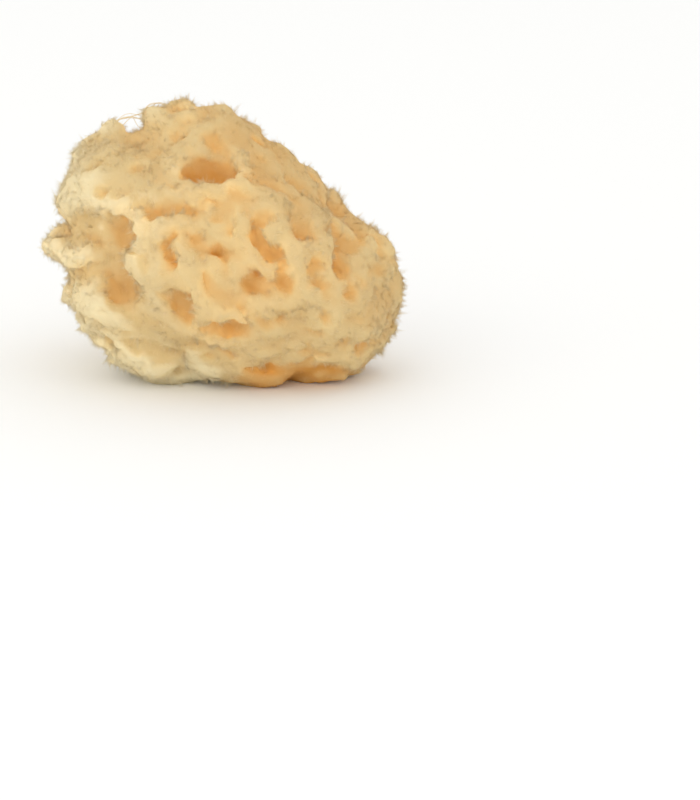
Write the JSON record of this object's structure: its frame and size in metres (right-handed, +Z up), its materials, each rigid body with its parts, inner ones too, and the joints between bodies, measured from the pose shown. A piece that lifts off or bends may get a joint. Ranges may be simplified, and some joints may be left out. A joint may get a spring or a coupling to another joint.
{
  "type": "sea sponge",
  "caption": "Lumpy dried natural sea sponge with deep hollows, raised ridges and a fuzzy surface, cut flat underneath.",
  "frame": {"origin": "middle of the sponge's outline seen from above, at the level of its flat cut foot", "axes": "+Z up from the cut foot, the wide face with the mouth and the ringed hollows towards -Y, +X along the width to the right as seen from in front"},
  "size_m": [0.1132, 0.086, 0.0848],
  "materials": {
    "sponge_fibre": "matt, fuzzy, cream on the ridges and amber in the hollows"
  },
  "bodies": {
    "root": {"sponge": "sponge_fibre"}
  },
  "joints": []
}
